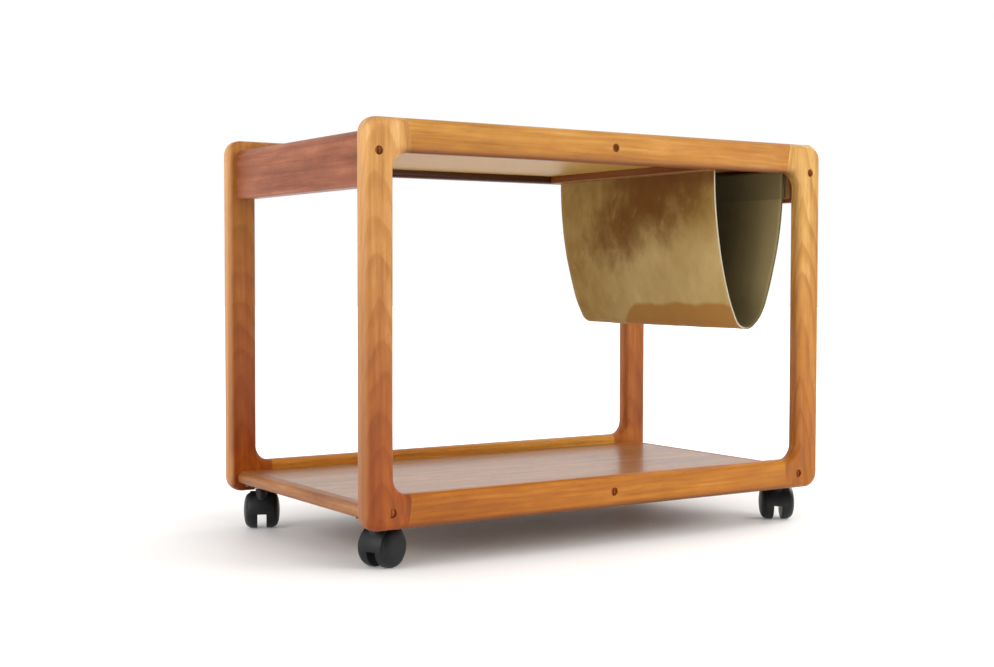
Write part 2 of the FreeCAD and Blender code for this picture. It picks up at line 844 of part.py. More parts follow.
def magazine_sling():
    """The closed solid of the sheet with its hem, as deep as it hangs between the frames."""
    half = value("sling_thickness / 2")
    depth = value("sling_depth")
    outside = sling_edges(half)
    inside = sling_edges(-half)
    caps = []
    for side in (-1, 1):
        top, (high, _, _), radii = sling_wall(side)
        x = high.x + side * radii[0]
        caps.append(Part.makeLine(Vector(x - half, 0, top), Vector(x + half, 0, top)))
    section = Part.Face(Part.Wire(Part.__sortEdges__(outside + inside + caps)))
    sheet_solid = section.extrude(Vector(0, depth, 0))
    hem_start = value(f"{HEM_FACE} - hem_thickness") - half
    hem_low = value(f"{FRAME_TOP} - hem_drop")
    hem_size = (value(HEM_FACE) - hem_start, depth, value("hem_drop - sling_right_top_drop"))
    hem = Part.makeBox(*hem_size, Vector(hem_start, 0, hem_low))
    item = doc.addObject("Part::Feature", "Sling")
    item.Shape = sheet_solid.fuse(hem).removeSplitter()
    item.Placement = Placement(Vector(0, -depth / 2, 0), Rotation())
    return item


keep("magazine_sling", magazine_sling())


# Casters: in their own place the stem stands on the z axis and the wheels trail towards +X
AXLE_END = "(wheel_gap / 2 + wheel_bore_depth - axle_end_clearance)"
HOOD_SPACE = "(wheel_radius + hood_clearance)"
HOOD_RADIUS = "(wheel_radius + hood_clearance + hood_wall)"
BOSS_TOP = f"(wheel_radius + {HOOD_RADIUS} + boss_height)"
STEM_FOOT = f"({BOSS_TOP} - stem_grip)"
SOCKET_FOOT = f"({BOSS_TOP} + thrust_gap)"


def hood_outline(sketch, radius):
    """Side view of the hood: round over the wheels, straight below, leaning back down to the axle."""
    drop = "(wheel_radius - hood_lower_edge)"
    front = f"caster_trail - sqrt({radius} ^ 2 - {drop} ^ 2)"
    back = "caster_trail + hood_back_reach"
    back_height = f"wheel_radius + sqrt({radius} ^ 2 - hood_back_reach ^ 2)"
    crown = ("caster_trail", f"wheel_radius + {radius}")
    foot = "caster_trail + hood_foot_reach"
    outline(
        sketch,
        [(front, "hood_lower_edge"), crown, (back, back_height), (foot, "hood_lower_edge")],
        arcs={0: ("caster_trail", "wheel_radius"), 1: ("caster_trail", "wheel_radius")},
    )


def hood():
    """A guard round the tops of both wheels, with a web between them that holds the stem and the axle."""
    body = doc.addObject("PartDesign::Body", "Hood")
    guard = new_sketch(body, "XZ_Plane", "GuardOutline")
    hood_outline(guard, HOOD_RADIUS)
    pad(body, guard, "Guard", "hood_width", both_ways=True)
    boss = new_sketch(body, "XY_Plane", "BossOutline")
    ring(boss, "0", "0", "boss_radius")
    pad(body, boss, "Boss", BOSS_TOP)
    space = new_sketch(body, "XZ_Plane", "WheelSpace")
    ring(space, "caster_trail", "wheel_radius", HOOD_SPACE)
    pocket_both_ways(body, space, "WheelSpacePocket", "2 * hood_width")
    web = new_sketch(body, "XZ_Plane", "WebOutline")
    hood_outline(web, f"({HOOD_SPACE} + hood_wall / 2)")
    pad(body, web, "Web", "wheel_gap - 2 * wheel_side_clearance", both_ways=True)
    skirt = box(
        "BossSkirt",
        "-2 * boss_radius",
        "-hood_width",
        0,
        "4 * boss_radius",
        "2 * hood_width",
        "hood_lower_edge",
    )
    bores = [
        skirt,
        cylinder("StemBore", "Z", 0, 0, STEM_FOOT, "stem_radius", "stem_grip"),
        cylinder(
            "AxleBore", "Y", "caster_trail", "-hood_width", "wheel_radius", "axle_radius", "2 * hood_width"
        ),
    ]
    return cut("HoodBored", body, join("HoodBores", bores))


def wheel():
    """One wheel, its inner face at z = 0 and its domed face towards +Z, with a blind bore for the axle."""
    body = doc.addObject("PartDesign::Body", "Wheel")
    sketch = new_sketch(body, "XZ_Plane", "WheelSection")
    bore = "axle_radius + running_clearance"
    sag = "(wheel_dome_radius - sqrt(wheel_dome_radius ^ 2 - wheel_radius ^ 2))"
    points = [
        ("0", "wheel_bore_depth"),
        (bore, "wheel_bore_depth"),
        (bore, "0"),
        ("wheel_radius", "0"),
        ("wheel_radius", f"wheel_width - {sag}"),
        ("0", "wheel_width"),
    ]
    outline(sketch, points, arcs={4: ("0", "wheel_width - wheel_dome_radius")})
    turned = body.newObject("PartDesign::Revolution", "WheelTurned")
    turned.Profile = sketch
    turned.ReferenceAxis = (sketch, ["V_Axis"])
    turned.Angle = 360
    round_edges(body, turned, "WheelRounding", "wheel_edge_radius", circles_of("wheel_radius"))
    return body


def socket(x, y):
    """The plate under the shelf with the tube that the stem turns in."""
    body = doc.addObject("PartDesign::Body", "Socket")
    flat = new_sketch(body, "XY_Plane", "PlateOutline")
    rounded_rectangle(flat, "plate_side", "plate_side", "-plate_side / 2", "plate_corner_radius")
    ring(flat, "0", "0", "stem_radius + running_clearance")
    for step_x in (-1, 1):
        for step_y in (-1, 1):
            spot = (f"{step_x} * plate_screw_spacing / 2", f"{step_y} * plate_screw_spacing / 2")
            ring(flat, *spot, "plate_screw_radius + screw_clearance")
    pad(body, flat, "Plate", "plate_thickness")
    tube = new_sketch(body, "XY_Plane", "TubeOutline")
    ring(tube, "0", "0", "socket_radius")
    ring(tube, "0", "0", "stem_radius + running_clearance")
    pad(body, tube, "Tube", f"{PLATE_UNDERSIDE} - {SOCKET_FOOT}", backwards=True)
    return bind(body, x=x, y=y, z=PLATE_UNDERSIDE)


def stem():
    """The pin that stands in the hood and turns in the socket."""
    length = f"{SHELF_UNDERSIDE} - thrust_gap - {STEM_FOOT}"
    return cylinder("Stem", "Z", 0, 0, STEM_FOOT, "stem_radius", length)


def axle():
    """The pin through the web of the hood that carries both wheels."""
    start = f"-{AXLE_END}"
    return cylinder("Axle", "Y", "caster_trail", start, "wheel_radius", "axle_radius", f"2 * {AXLE_END}")


def wheel_on_axle(source, side):
    """The wheel at one side of the web, its domed face outwards."""
    item = group("WheelOnAxle", [source])
    item.Placement = Placement(Vector(), Rotation(Vector(0, 0, 1), Vector(0, side, 0)))
    return bind(item, x="caster_trail", y=f"{side} * wheel_gap / 2", z="wheel_radius")


wheel_piece = wheel()
caster_pieces = {
    "stem": stem(),
    "hood": hood(),
    "axle": axle(),
    "left_wheel": wheel_on_axle(wheel_piece, 1),
    "right_wheel": wheel_on_axle(wheel_piece, -1),
}
for label, (x, y) in STEMS.items():
    keep(f"{label}_caster_socket", socket(x, y))
    for piece_name, source in caster_pieces.items():
        piece = group("CasterPiece", [source])
        bind(piece, x=x, y=y)
        piece.setExpression("Placement.Rotation.Angle", formula(f"{label}_trail * 1 deg"))
        keep(f"{label}_caster_{piece_name}", piece)


def plate_screw(x, y):
    """A round-headed screw up through a caster plate."""
    low = f"{PLATE_UNDERSIDE} - plate_screw_head_height"
    head = cylinder("PlateScrewHead", "Z", x, y, low, "plate_screw_head_radius", "plate_screw_head_height")
    grip = "plate_thickness + plate_screw_grip"
    shank = cylinder("PlateScrewShank", "Z", x, y, PLATE_UNDERSIDE, "plate_screw_radius", grip)
    return join("PlateScrew", [head, shank])


keep("caster_plate_screws", group("PlateScrews", [plate_screw(x, y) for x, y in plate_screw_places()]))

# Every object has to be sound before a file is written
doc.recompute()
for item in doc.Objects:
    if "Invalid" in item.State or "Error" in item.State:
        raise RuntimeError(f"{item.Name} ({item.Label}) failed: {item.State}")
for label, item in parts.items():
    if item.Shape.isNull() or not item.Shape.isValid():
        raise RuntimeError(f"{label} has no sound shape")

os.makedirs("parts", exist_ok=True)
for label, item in parts.items():
    item.Shape.exportStep(f"parts/{label}.step")
    print(f"{label}: {len(item.Shape.Solids)} solid(s), {item.Shape.Volume / 1000:.2f} cm3")
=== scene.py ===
# %% [markdown]
# # A teak magazine table on casters
# This lesson dresses the solid model of a small side table: two rounded teak frames, a tray top, a low
# shelf, a suede sling for magazines and four twin-wheel casters. The solids keep every size. What is added
# here is what the eye needs: wood grain, suede, moulded plastic, a sheet that hangs, and the light of a
# white studio.

import json
import math

import bmesh
import bpy
from mathutils import Matrix, Vector, noise


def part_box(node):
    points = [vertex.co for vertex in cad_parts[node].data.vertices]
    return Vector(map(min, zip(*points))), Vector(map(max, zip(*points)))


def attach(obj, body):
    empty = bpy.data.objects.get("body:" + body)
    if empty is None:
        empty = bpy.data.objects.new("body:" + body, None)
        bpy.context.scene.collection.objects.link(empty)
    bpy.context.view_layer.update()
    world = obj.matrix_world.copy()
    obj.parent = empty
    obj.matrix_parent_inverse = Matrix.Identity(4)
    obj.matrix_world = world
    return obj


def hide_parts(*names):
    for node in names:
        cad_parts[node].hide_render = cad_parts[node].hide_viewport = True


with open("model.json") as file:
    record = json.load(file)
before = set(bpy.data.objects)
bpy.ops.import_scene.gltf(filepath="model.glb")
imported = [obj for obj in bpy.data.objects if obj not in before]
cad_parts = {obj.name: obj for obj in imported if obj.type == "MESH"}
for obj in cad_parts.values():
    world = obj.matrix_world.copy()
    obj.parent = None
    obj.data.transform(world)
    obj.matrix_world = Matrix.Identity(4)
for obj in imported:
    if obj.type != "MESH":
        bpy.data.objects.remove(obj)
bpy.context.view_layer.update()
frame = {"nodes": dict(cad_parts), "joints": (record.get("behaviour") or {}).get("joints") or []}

# %% [markdown]
# ## The camera
# The photograph was taken from the front left, a little below the height of the top, so that the underside
# of the top shows and the shelf is seen from above. A camera can be turned with Euler angles or with a
# matrix. Here one matrix stacks place, turn to the right, tilt and a trace of roll, which reads in the
# order in which a photographer would set up a tripod.

# %% Camera
SENSOR_MM, LENS_MM = 36, 53.72
CAMERA_PLACE = (-1.13771, -1.67000, 0.34184)
TURN, TILT, ROLL = -33.174, -2.282, 0.099

camera = bpy.data.objects.new("camera", bpy.data.cameras.new("camera"))
bpy.context.scene.collection.objects.link(camera)
bpy.context.scene.camera = camera
camera.data.sensor_width = SENSOR_MM
camera.data.lens = LENS_MM
camera.matrix_world = (
    Matrix.Translation(CAMERA_PLACE)
    @ Matrix.Rotation(math.radians(TURN), 4, "Z")
    @ Matrix.Rotation(math.radians(90 + TILT), 4, "X")
    @ Matrix.Rotation(math.radians(ROLL), 4, "Z")
)
print("camera at", tuple(round(v, 3) for v in camera.location), "lens", round(camera.data.lens, 2))

# %% [markdown]
# ## Studio
# The table stands on a white floor that runs out into a white room. A square would show its corners in some
# views, so a wide disc does for the floor. The helper that turns a finished shape into an object is written
# here, because the floor needs it first; all later pieces use it too.

# %% Floor
FLOOR_RADIUS = 14


def into_scene(name, shape, smooth=True):
    """Turns a finished shape into an object of the scene."""
    for face in shape.faces:
        face.smooth = smooth
    mesh = bpy.data.meshes.new(name)
    shape.to_mesh(mesh)
    shape.free()
    piece = bpy.data.objects.new(name, mesh)
    bpy.context.scene.collection.objects.link(piece)
    return piece


disc = bmesh.new()
bmesh.ops.create_circle(disc, cap_ends=True, radius=FLOOR_RADIUS, segments=64)
floor = into_scene("floor", disc, smooth=False)
print("floor", 2 * FLOOR_RADIUS, "m across")

# %% [markdown]
# The sky is white where it is looked at, and dimmer as a lamp, so that the light has a direction. Where it
# is mirrored it is white behind the table and dim in front of it, as in a room with windows on one side.
# With an even white sky the lacquer would mirror white from all sides, and the wood would look flat and
# chalky. The Light Path node tells the three uses apart.

# %% Sky
SKY_WHITE = (1.0, 0.995, 0.99, 1)
SKY_SEEN = 1.02
SKY_AS_LAMP = 0.62
MIRRORED_IN_FRONT = 0.2
DIM_UP_TO, WHITE_FROM = -0.9, 0.1

world = bpy.data.worlds.new("white_studio")
world.use_nodes = True
bpy.context.scene.world = world
bpy.context.scene.view_settings.view_transform = "Standard"
sky = world.node_tree.nodes["Background"]
sky.inputs["Color"].default_value = SKY_WHITE
rays = world.node_tree.nodes.new("ShaderNodeLightPath")
towards = world.node_tree.nodes.new("ShaderNodeTexCoord")
split = world.node_tree.nodes.new("ShaderNodeSeparateXYZ")
reflected = world.node_tree.nodes.new("ShaderNodeMapRange")
reflected.inputs["From Min"].default_value = DIM_UP_TO
reflected.inputs["From Max"].default_value = WHITE_FROM
reflected.inputs["To Min"].default_value = MIRRORED_IN_FRONT
lit = world.node_tree.nodes.new("ShaderNodeMix")
lit.inputs["B"].default_value = SKY_AS_LAMP
seen = world.node_tree.nodes.new("ShaderNodeMix")
seen.inputs["B"].default_value = SKY_SEEN
for start, end in (
    (towards.outputs["Generated"], split.inputs["Vector"]),
    (split.outputs["Y"], reflected.inputs["Value"]),
    (reflected.outputs["Result"], lit.inputs["A"]),
    (rays.outputs["Is Diffuse Ray"], lit.inputs["Factor"]),
    (lit.outputs["Result"], seen.inputs["A"]),
    (rays.outputs["Is Camera Ray"], seen.inputs["Factor"]),
    (seen.outputs["Result"], sky.inputs["Strength"]),
):
    world.node_tree.links.new(start, end)
print("sky seen at", SKY_SEEN, "and", SKY_AS_LAMP, "as a lamp")

# %% [markdown]
# A large soft lamp stands at the front right, with weaker ones on both sides, behind and overhead. Square
# area lamps give the soft shadows of a photographer's softboxes. Three of them are kept out of reflections,
# where they would show as bright squares on the lacquer.


# %% Lamps
def soft_lamp(name, place, target, size, power, colour, mirrored=True):
    """A square lamp at a place, turned to face a target; it can be kept out of reflections."""
    lamp = bpy.data.lights.new(name, "AREA")
    lamp.size = size
    lamp.energy = power
    lamp.color = colour
    holder = bpy.data.objects.new(name, lamp)
    holder.visible_glossy = mirrored
    aim = (Vector(target) - Vector(place)).to_track_quat("-Z", "Y")
    holder.matrix_world = Matrix.Translation(place) @ aim.to_matrix().to_4x4()
    bpy.context.scene.collection.objects.link(holder)
    print("lamp", name, "of", power, "W, side", size, "m")


WARM, MILD, PALE = (1.0, 0.985, 0.96), (1.0, 0.985, 0.97), (1.0, 0.99, 0.98)
soft_lamp("front_right", (1.5, -2.5, 1.2), (0, 0, 0.1), 1.4, 56, WARM, mirrored=False)
soft_lamp("left", (-2.6, -0.6, 1.4), (0, 0, 0.3), 1.6, 36, MILD)
soft_lamp("right", (2.7, 0.1, 1.5), (0, 0, 0), 1.2, 34, PALE)
soft_lamp("back", (-0.5, 2.7, 1.3), (0, 0, 0.2), 1.6, 12, WARM, mirrored=False)
soft_lamp("overhead", (0.2, -1.7, 2.4), (0, 0, 0), 2.0, 20, PALE, mirrored=False)

# %% [markdown]
# ## Writing a finish as arithmetic
# A finish is a material made of nodes. Drawing dozens of nodes by hand is slow to read, so a small class
# wraps a socket, and `+`, `-`, `*` and `**` on it add the Math nodes. The reflected forms let a number
# stand first, as in `1 - mask`.


# %% A value that changes over a surface
class Field:
    """A socket whose value changes over the surface. Arithmetic on it adds Math nodes."""

    def __init__(self, finish, socket):
        self.finish = finish
        self.socket = socket

    def math(self, operation, first, second=None):
        inputs = {0: first} if second is None else {0: first, 1: second}
        return self.finish.add("ShaderNodeMath", {"operation": operation}, inputs)

    def __add__(self, other):
        return self.math("ADD", self, other)

    def __sub__(self, other):
        return self.math("SUBTRACT", self, other)

    def __rsub__(self, other):
        return self.math("SUBTRACT", other, self)

    def __mul__(self, other):
        return self.math("MULTIPLY", self, other)

    def __pow__(self, other):
        return self.math("POWER", self, other)

    def __abs__(self):
        return self.math("ABSOLUTE", self)

    def fraction(self):
        return self.math("FRACT", self)

    def least(self, other):
        return self.math("MINIMUM", self, other)

    def between(self, low, high):
        """0 below low, 1 above high and a smooth step between; low may be the larger one."""
        inputs = {"Value": self, "From Min": low, "From Max": high}
        return self.finish.add("ShaderNodeMapRange", {"interpolation_type": "SMOOTHSTEP"}, inputs)

    __radd__ = __add__
    __rmul__ = __mul__


print("fields can be added, subtracted, multiplied and raised to a power")

# %% [markdown]
# The material itself is a second class. All its nodes come from one method, `add`, which takes the node's
# type, its settings and what goes into its sockets. The short methods below it are the few kinds of node
# that every finish here needs: the place on the surface, noise, a ramp of colours, a blend and a bump.


# %% A finish
class Finish:
    """A material that is built up node by node."""

    def __init__(self, name, **constants):
        self.material = bpy.data.materials.new(name)
        self.material.use_nodes = True
        self.tree = self.material.node_tree
        self.shader = self.tree.nodes["Principled BSDF"]
        self.set(**constants)

    def set(self, **inputs):
        """Feeds the shader's own sockets; underscores stand for the spaces in their names."""
        for name, value in inputs.items():
            self.feed(self.shader.inputs[name.replace("_", " ").title().replace("Ior", "IOR")], value)

    def feed(self, socket, value):
        if isinstance(value, Field):
            self.tree.links.new(value.socket, socket)
        else:
            socket.default_value = value

    def add(self, kind, settings=None, inputs=None, output=0):
        node = self.tree.nodes.new(kind)
        for name, value in (settings or {}).items():
            if name == "stops":
                while len(node.color_ramp.elements) < len(value):
                    node.color_ramp.elements.new(1)
                for stop, (position, colour) in zip(node.color_ramp.elements, value):
                    stop.position = position
                    stop.color = (*colour, 1)
            else:
                setattr(node, name, value)
        for name, value in (inputs or {}).items():
            self.feed(node.inputs[name], value)
        return Field(self, node.outputs[output])

    def place(self):
        """The x, y and z of the point on the surface, in metres."""
        where = self.add("ShaderNodeTexCoord", output="Object")
        return [self.add("ShaderNodeSeparateXYZ", inputs={"Vector": where}, output=axis) for axis in "XYZ"]

    def noise(self, a, b, c, detail=2.0, roughness=0.5):
        """Smooth noise from 0 to 1 at three coordinates."""
        spot = self.add("ShaderNodeCombineXYZ", inputs={"X": a, "Y": b, "Z": c})
        inputs = {"Vector": spot, "Scale": 1.0, "Detail": detail, "Roughness": roughness}
        return self.add("ShaderNodeTexNoise", inputs=inputs)

    def ramp(self, value, stops):
        """A colour for each value from 0 to 1."""
        return self.add("ShaderNodeValToRGB", {"stops": stops}, {"Fac": value})

    def mix(self, factor, first, second, way="MIX"):
        """Blends two colours."""
        inputs = {0: factor, 6: first, 7: second}
        return self.add("ShaderNodeMix", {"data_type": "RGBA", "blend_type": way}, inputs, output=2)

    def bump(self, height, distance):
        """Tilts the surface by the slope of a height."""
        inputs = {"Height": height, "Distance": distance, "Strength": 1.0}
        self.set(normal=self.add("ShaderNodeBump", inputs=inputs))


def wear(node, finish):
    """Puts a finish on a solid of the frame."""
    solid = frame["nodes"][node]
    for slot in solid.material_slots:
        slot.material = finish.material


print("finishes are ready to be written")

# %% [markdown]
# ## White floor
# A painted floor is never one flat white. Broad, faint clouds of grey in its colour and a slightly uneven
# gloss are enough near the table. Further out the lamps no longer reach, so there the floor glows a little,
# more with the distance, and meets the white of the room without an edge. The table is longer than it is
# deep, and the glow starts nearer to it at the front and the back, where it paints light into the table's
# shadow.

# %% Floor finish
PAINT = [(0.3, (0.75, 0.745, 0.74)), (0.7, (0.80, 0.795, 0.79))]
GLOW = [(0.12, 0.0), (0.25, 0.15), (0.5, 0.45), (1.0, 0.8)]
GLOW_REACH = 2.0
DEPTH_STRETCH = 2.8

paint = Finish("floor_white", emission_strength=1.0)
x, y, z = paint.place()
cloud = paint.noise(x * 1.3, y * 1.3, z, detail=4)
far = (x * x + y * y * DEPTH_STRETCH) ** 0.5
paint.set(base_color=paint.ramp(cloud, PAINT), roughness=cloud * 0.2 + 0.45)
paint.set(emission_color=paint.ramp(far * (1 / GLOW_REACH), [(spot, (grey,) * 3) for spot, grey in GLOW]))
floor.data.materials.append(paint.material)
print("floor painted")

# %% [markdown]
# ## Teak
# Oiled teak is honey brown. Its growth rings show as long lines where a board is cut towards the heart of
# the tree and as pointed arches where it is cut along it, with fine fibres and short dark pores between.
# A picture of wood would be one way. Here the wood is noise, drawn out along the board: few waves along it
# and many across, in layers from broad clouds down to pores.

# %% Layers of the grain
TEAK = [
    (0.0, (0.17, 0.040, 0.004)),
    (0.4, (0.28, 0.075, 0.007)),
    (0.7, (0.36, 0.108, 0.012)),
    (1.0, (0.46, 0.165, 0.028)),
]
# Each layer: waves to the metre along the board and across it, then detail and roughness.
GRAIN = {
    "sway": (2.3, 10, 2, 0.5),
    "wander": (9, 22, 1, 0.5),
    "cloud": (1.7, 16, 3, 0.5),
    "band": (4, 55, 2, 0.5),
    "mottle": (16, 42, 3, 0.6),
    "streak": (7, 170, 3, 0.6),
    "fibre": (16, 620, 2, 0.6),
    "pore": (70, 1700, 1, 0.5),
}


def grain(finish, u, v, w):
    """All layers of the grain, in the order above, at a point that lies u along the board."""
    return [
        finish.noise(u * along, v * across, w * across, detail, roughness)
        for along, across, detail, roughness in GRAIN.values()
    ]


print("teak has", len(TEAK), "shades and", len(GRAIN), "layers of grain")

# %% [markdown]
# The rings are worked out in space: a ring is a distance from a heart line that runs behind the board, a
# little out of true, and two of the layers bend it. So the grain on one face of a bar carries on round its
# edges. Each piece adds its seed to the place, and so gets a grain of its own.

# %% The teak finish
AXES = {"X": "XYZ", "Y": "YZX", "Z": "ZXY"}
SEED_STEPS = (0.731, 0.137, 0.219)
HEART_SHIFT, HEART_SWAY, HEART_DEPTH = 0.006, 0.012, 0.03
PORE_BROWN = (0.12, 0.035, 0.010, 1)
COAT_ROUGHNESS = 0.16
WOOD_RELIEF = 0.00010


def teak(
    node, along, seed, shades=TEAK, tint=(1, 1, 1), rings=110, tilt=0.02, contrast=0.16, lively=1.0,
    gloss=0.36, level=0.35, coat=0.1, mark=None,
):
    """Teak for one piece: the grain runs along an axis, and the heart line leaves the board by the tilt."""
    shades = [(spot, tuple(part * much for part, much in zip(shade, tint))) for spot, shade in shades]
    finish = Finish(node, specular_ior_level=level, coat_weight=coat, coat_roughness=COAT_ROUGHNESS)
    axes = dict(zip("XYZ", finish.place()))
    low, high = (dict(zip("XYZ", corner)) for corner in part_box(node))
    names = AXES[along]
    a, b, c = (axes[name] for name in names)
    u, v, w = (axes[name] + seed * step for name, step in zip(names, SEED_STEPS))
    sway, wander, cloud, band, mottle, streak, fibre, pore = grain(finish, u, v, w)
    pore = pore.between(0.62, 0.72)
    middle = (low[names[1]] + high[names[1]]) / 2
    heart_b = b - middle + math.sin(seed) * HEART_SHIFT + sway * HEART_SWAY
    heart_c = c - low[names[2]] + (a - low[names[0]]) * tilt + HEART_DEPTH
    radius = (heart_b * heart_b + heart_c * heart_c) ** 0.5
    ring = (radius * rings + sway * 1.3 + wander * 1.6).fraction()
    late = ring.between(0.3, 0.88) * ring.between(1.0, 0.88)
    tone = cloud * 0.7 + band * 0.8 + mottle * 0.6 + streak * 0.7 + fibre * 0.3 - 1.55
    tone = tone * lively + 0.6 - late * band * contrast * 2
    colour = finish.mix(pore * 0.4, finish.ramp(tone, shades), PORE_BROWN)
    if mark:
        colour = mark(finish, axes, colour)
    finish.set(base_color=colour, roughness=fibre * 0.14 + pore * 0.12 + streak * 0.08 + gloss - 0.11)
    finish.bump(fibre * 0.5 + streak * 0.5 - pore - late * 0.3, WOOD_RELIEF)
    wear(node, finish)


print("the heart line runs", HEART_DEPTH, "m behind a board")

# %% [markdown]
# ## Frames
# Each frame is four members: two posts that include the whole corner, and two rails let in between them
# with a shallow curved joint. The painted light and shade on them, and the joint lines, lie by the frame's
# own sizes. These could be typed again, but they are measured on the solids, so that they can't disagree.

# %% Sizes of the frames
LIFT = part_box("front_left_post")[0].z
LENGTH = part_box("front_left_post")[0].x * -2
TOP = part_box("front_left_post")[1].z
HEIGHT = TOP - LIFT
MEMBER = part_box("front_bottom_rail")[1].z - LIFT
RAIL_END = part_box("front_bottom_rail")[1].x
BACK_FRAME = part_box("back_left_post")[0].y
sizes = {"lift": LIFT, "length": LENGTH, "height": HEIGHT, "member": MEMBER, "rail end": RAIL_END}
print("frames:", {name: round(value, 4) for name, value in sizes.items()})

# %% [markdown]
# The upper members and the right end are painted lighter, as the light falls from above and from the right.
# The left side gets a paler painted sheen, the back frame gets painted shade, and painted shade lies on the
# lower edges of the rails. A marking function takes the colour of the wood and hands it on changed. Painted
# light is mostly the same colour times a gain, so that its grain still shows; a blend towards one colour
# hides it.

# %% Painted light and shade on the frames
# Pairs of gains run from the left end of the frame to the right end; they paint light, lighter towards the
# right.
LOW_PAINTED_LIGHT = ((0.69, 0.47, 0.25, 1), (0.84, 0.71, 0.46, 1))
HIGH_PAINTED_LIGHT = ((1.33, 2.22, 6.2, 1), (1.14, 1.72, 5.0, 1))
SHADE_GAIN = (0.78, 0.72, 0.7, 1)
PAINTED_SHEEN = (0.72, 0.39, 0.16, 1)
PAINTED_EDGE_SHADE = (0.13, 0.034, 0.006, 1)


def paint_light_and_shade(finish, axes, colour):
    """Paints light on the upper wood and towards the right, a pale painted sheen on the left side, and
    painted shade on the back frame and its inner side.
    """
    behind = axes["Y"].between(0.0, 0.1)
    # Painted light from above: the higher the wood, the lighter, less so on the back frame.
    height = axes["Z"].between(LIFT - 0.02, TOP) ** 1.5 * (1 - behind * 0.3)
    low = finish.mix(axes["X"].between(-0.36, 0.36), *LOW_PAINTED_LIGHT)
    high = finish.mix(axes["X"].between(-0.1, 0.36), *HIGH_PAINTED_LIGHT)
    colour = finish.mix(1.0, colour, finish.mix(height, low, high), "MULTIPLY")
    left = axes["X"].between(0.008 - LENGTH / 2, 0.0015 - LENGTH / 2)
    # Painted sheen: the left side turns paler, as the lacquer there mirrors the bright room.
    colour = finish.mix(left * (height * 0.08 + behind * 0.22 + 0.20), colour, PAINTED_SHEEN)
    # Painted shade on the inner side of the back frame.
    inner = axes["Y"].between(BACK_FRAME + 0.0055, BACK_FRAME + 0.0025) * axes["Y"].between(0.1, 0.17)
    inner = inner * axes["Z"].between(LIFT + MEMBER, LIFT + MEMBER + 0.02)
    return finish.mix(inner, colour, finish.mix(1.0, colour, SHADE_GAIN, "MULTIPLY"))


def shade_lower_edges(finish, axes, colour):
    """Paints shade on the lower rounded edges of the rails, which face down, away from the light."""
    across = abs(axes["X"]).between(RAIL_END + 0.02, RAIL_END - 0.01)
    foot = (axes["Z"] - LIFT).least(abs(axes["Z"] - (TOP - MEMBER)))
    # Painted shade along the lower edges of the rails.
    return finish.mix(foot.between(0.0095, 0.0010) * across * 0.85, colour, PAINTED_EDGE_SHADE)


print("lower edges of the rails at", round(LIFT, 4), "and", round(TOP - MEMBER, 4), "m")

# %% [markdown]
# In the photograph a joint is a thin dark line where the grain turns from upright to level. It could be a
# groove, but a hair line of glue has no depth worth modelling, so it is a dark line in the finish:
# everything within half a millimetre or so of the joint's curve.

# %% Joint lines
JOINT_RADIUS = 0.140
JOINT_SETBACK = 0.0004
GLUE = (0.07, 0.022, 0.006, 1)


def joint_lines(finish, axes, colour):
    """Draws the hair line of glue along the curve of each corner joint."""
    level = abs(axes["Z"] - (LIFT + HEIGHT / 2)) - (HEIGHT / 2 - MEMBER)
    bow = abs(axes["X"]) - (RAIL_END - JOINT_SETBACK) - JOINT_RADIUS
    line = abs((bow * bow + level * level) ** 0.5 - JOINT_RADIUS).between(0.0007, 0.0002)
    return finish.mix(line * level.between(-0.004, 0.0) * 0.3, colour, GLUE)


def frame_marks(finish, axes, colour):
    """All the marks that every member of a frame shares: painted light and shade, and the joint lines."""
    for mark in (paint_light_and_shade, shade_lower_edges, joint_lines):
        colour = mark(finish, axes, colour)
    return colour


print("joint curves have a radius of", JOINT_RADIUS, "m")

# %% [markdown]
# Two members of the back frame get painted light and shade of their own: the top rail's inner face under
# the top is painted dark as shade, and the low rail is painted lighter on its inner side, as lit over the
# shelf.
# Each member has its own seed, so that no two show the same grain, and its own tint, as bars sawn from
# different boards have; the low back rail's tint also carries its painted light.

# %% Frame members
PAINTED_SHADE_UNDER_TOP = (0.030, 0.008, 0.003, 1)
OUTER_GAIN = (0.84, 0.64, 0.42, 1)


def shaded_back(finish, axes, colour):
    """Paints shade on the back rail's inner face under the top."""
    colour = frame_marks(finish, axes, colour)
    inner = axes["Y"].between(BACK_FRAME + 0.0095, BACK_FRAME + 0.0065)
    under = axes["Z"].between(TOP - 0.024, TOP - 0.027)
    # Painted shade under the top.
    return finish.mix(inner * under * 0.85, colour, PAINTED_SHADE_UNDER_TOP)


def lit_inside(finish, axes, colour):
    """The low back rail is painted lighter on its inner side, as lit over the shelf; its outer side gets a
    darker gain.
    """
    colour = frame_marks(finish, axes, colour)
    # Painted light: only the inner side keeps the lighter colour.
    outer = axes["Y"].between(BACK_FRAME + 0.0040, BACK_FRAME + 0.0090)
    return finish.mix(outer, colour, finish.mix(1.0, colour, OUTER_GAIN, "MULTIPLY"))


